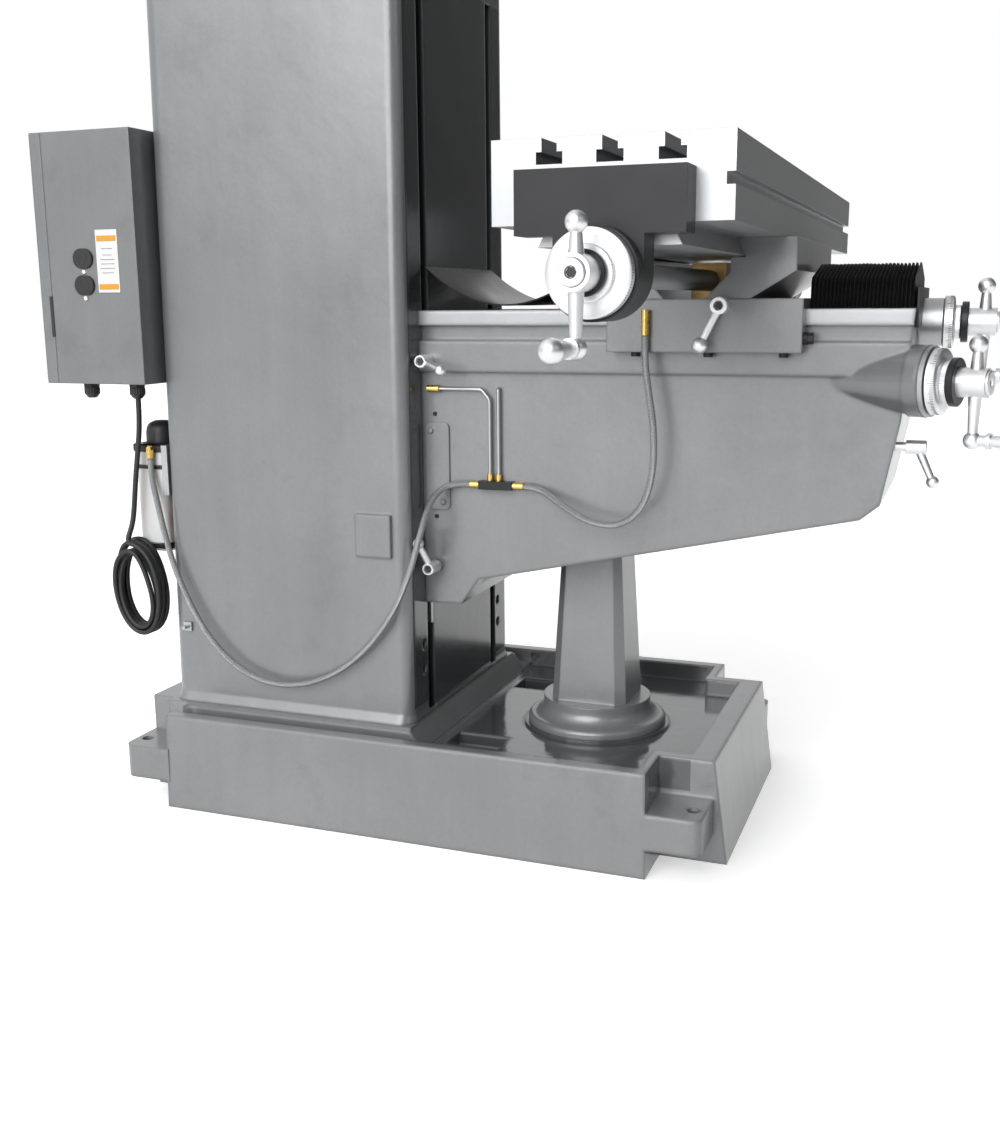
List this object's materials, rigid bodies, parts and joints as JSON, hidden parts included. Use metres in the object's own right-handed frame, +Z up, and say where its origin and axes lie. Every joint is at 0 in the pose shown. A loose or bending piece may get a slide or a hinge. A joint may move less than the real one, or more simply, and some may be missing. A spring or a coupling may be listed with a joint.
{
  "type": "vertical milling machine",
  "caption": "Turret-type vertical knee milling machine on a cast base, with sliding table, ball cranks, lubrication pump and a swivelling ram and head",
  "frame": {"origin": "on the floor, under the middle of the base casting", "axes": "+X is the operator's right along the table, +Y is the back, +Z is up"},
  "size_m": [1.46, 1.415, 2.075],
  "materials": {
    "machine_paint": "semi-gloss grey machine paint",
    "machined_steel": "ground steel",
    "cast": "scraped cast iron",
    "satin_chrome": "satin chrome",
    "black_rubber": "black rubber",
    "black_steel": "black oxide",
    "brass": "brass",
    "bronze": "bronze",
    "braid": "braided steel hose",
    "black_plastic": "matt black",
    "translucent": "translucent tank",
    "label": "printed sheet",
    "light_alloy": "painted alloy casting"
  },
  "bodies": {
    "base": {"base_casting": "machine_paint", "column": "machine_paint", "way_stop_screws": "black_steel", "elevating_pedestal": "machine_paint", "elevating_nut": "bronze", "electrical_box": "machine_paint", "box_panel": "light_alloy", "duplex_outlet": "black_plastic", "rating_label": "label", "cable_glands": "black_plastic", "power_cord": "black_rubber", "power_cord_coil": "black_rubber", "cord_clip": "machined_steel", "pump_reservoir": "translucent", "pump_head": "black_plastic", "pump_bracket": "machined_steel", "hose_pump": "braid"},
    "knee": {"knee_casting": "machine_paint", "knee_gib": "cast", "knee_cover_plate": "machine_paint", "bearing_retainers": "machined_steel", "lube_manifold": "black_steel", "lube_lines": "machined_steel", "brass_fittings": "brass", "hose_saddle": "braid", "front_bellows": "black_rubber", "bellows_plate": "black_steel", "rear_way_sheet": "black_rubber"},
    "saddle": {"saddle_casting": "machine_paint", "saddle_keepers": "black_steel", "feed_nuts": "bronze", "saddle_fitting": "brass"},
    "table": {"table": "cast", "table_end_brackets": "black_steel"},
    "x_feed": {"x_screw": "machined_steel", "x_dials": "satin_chrome", "x_cranks": "satin_chrome"},
    "y_feed": {"y_screw": "machined_steel", "y_dial": "satin_chrome", "y_crank": "satin_chrome"},
    "z_feed": {"z_shaft": "machined_steel", "z_dial": "satin_chrome", "z_crank": "satin_chrome"},
    "lift_screw": {"elevating_screw": "machined_steel"},
    "upper_lock": {"knee_lock_upper": "satin_chrome"},
    "lower_lock": {"knee_lock_lower": "satin_chrome"},
    "front_lock": {"knee_front_lock": "satin_chrome"},
    "saddle_lever": {"saddle_lock": "satin_chrome"},
    "door": {"box_door": "machine_paint"},
    "turret_body": {"turret": "machine_paint"},
    "ram_body": {"ram": "machine_paint"},
    "ram_lever": {"ram_handle": "satin_chrome"},
    "knuckle_body": {"knuckle": "machine_paint"},
    "head": {"head_housing": "machine_paint", "belt_housing": "light_alloy", "motor": "machine_paint"},
    "quill_body": {"quill": "machined_steel"},
    "spindle_body": {"spindle": "machined_steel"},
    "feed_arm": {"feed_lever": "satin_chrome"},
    "fine_feed": {"fine_feed_wheel": "satin_chrome"}
  },
  "joints": [
    {"name": "knee_slide", "type": "slide", "parent": "base", "child": "knee", "axis": [0, 0, 1], "range_m": [-0.13, 0.27], "deforming": ["hose_pump"]},
    {"name": "saddle_slide", "type": "slide", "parent": "knee", "child": "saddle", "axis": [0, 1, 0], "range_m": [-0.09, 0.19], "deforming": ["hose_saddle", "front_bellows", "rear_way_sheet"]},
    {"name": "table_slide", "type": "slide", "parent": "saddle", "child": "table", "axis": [1, 0, 0], "range_m": [-0.33, 0.33]},
    {"name": "x_crank_spin", "type": "hinge", "parent": "table", "child": "x_feed", "pos_m": [0, -0.385, 0.782], "axis": [1, 0, 0], "continuous": true},
    {"name": "y_crank_spin", "type": "hinge", "parent": "knee", "child": "y_feed", "pos_m": [0, -0.7, 0.725], "axis": [0, 1, 0], "continuous": true},
    {"name": "z_crank_spin", "type": "hinge", "parent": "knee", "child": "z_feed", "pos_m": [0, -0.222, 0.655], "axis": [-0.2851, -0.9585, 0], "continuous": true},
    {"name": "lift_screw_spin", "type": "hinge", "parent": "knee", "child": "lift_screw", "pos_m": [0, -0.222, 0.4], "axis": [0, 0, 1], "continuous": true},
    {"name": "upper_lock_turn", "type": "hinge", "parent": "knee", "child": "upper_lock", "pos_m": [-0.168, -0.014, 0.675], "axis": [1, 0, 0], "range_deg": [-30, 30]},
    {"name": "lower_lock_turn", "type": "hinge", "parent": "knee", "child": "lower_lock", "pos_m": [-0.168, -0.02, 0.38], "axis": [1, 0, 0], "range_deg": [-4, 30]},
    {"name": "front_lock_turn", "type": "hinge", "parent": "knee", "child": "front_lock", "pos_m": [-0.112, -0.67, 0.57], "axis": [0, 1, 0], "range_deg": [-45, 45]},
    {"name": "saddle_lock_turn", "type": "hinge", "parent": "saddle", "child": "saddle_lever", "pos_m": [-0.19, -0.434, 0.749], "axis": [1, 0, 0], "range_deg": [-30, 25]},
    {"name": "door_hinge", "type": "hinge", "parent": "base", "child": "door", "pos_m": [0.166, 0.565, 0.82], "axis": [0, 0, 1], "range_deg": [-110, 0]},
    {"name": "turret_swivel", "type": "hinge", "parent": "base", "child": "turret_body", "pos_m": [0, 0.2, 1.3], "axis": [0, 0, 1], "range_deg": [-180, 180]},
    {"name": "ram_slide", "type": "slide", "parent": "turret_body", "child": "ram_body", "axis": [0, -1, 0], "range_m": [-0.18, 0.12]},
    {"name": "ram_handle_turn", "type": "hinge", "parent": "turret_body", "child": "ram_lever", "pos_m": [0.15, 0.14, 1.392], "axis": [1, 0, 0], "range_deg": [-380, 560]},
    {"name": "head_nod", "type": "hinge", "parent": "ram_body", "child": "knuckle_body", "pos_m": [0, -0.198, 1.431], "axis": [1, 0, 0], "range_deg": [-45, 45]},
    {"name": "head_tilt", "type": "hinge", "parent": "knuckle_body", "child": "head", "pos_m": [0, -0.3, 1.431], "axis": [0, 1, 0], "range_deg": [-90, 90]},
    {"name": "quill_slide", "type": "slide", "parent": "head", "child": "quill_body", "axis": [0, 0, 1], "range_m": [-0.127, 0]},
    {"name": "spindle_spin", "type": "hinge", "parent": "quill_body", "child": "spindle_body", "pos_m": [0, -0.385, 1.3], "axis": [0, 0, 1], "continuous": true},
    {"name": "feed_lever_turn", "type": "hinge", "parent": "head", "child": "feed_arm", "pos_m": [0.09, -0.341, 1.47], "axis": [1, 0, 0], "range_deg": [-270, 0]},
    {"name": "fine_feed_turn", "type": "hinge", "parent": "head", "child": "fine_feed", "pos_m": [-0.046, -0.47, 1.4], "axis": [0, 1, 0], "continuous": true}
  ],
  "couplings": [
    {"joint": "x_crank_spin", "follows": "table_slide", "rad_per_m": 1236.8},
    {"joint": "y_crank_spin", "follows": "saddle_slide", "rad_per_m": 1236.8},
    {"joint": "z_crank_spin", "follows": "knee_slide", "rad_per_m": 2473.7},
    {"joint": "lift_screw_spin", "follows": "knee_slide", "rad_per_m": -1236.8},
    {"joint": "ram_handle_turn", "follows": "ram_slide", "rad_per_m": -33},
    {"joint": "feed_lever_turn", "follows": "quill_slide", "rad_per_m": 37}
  ]
}
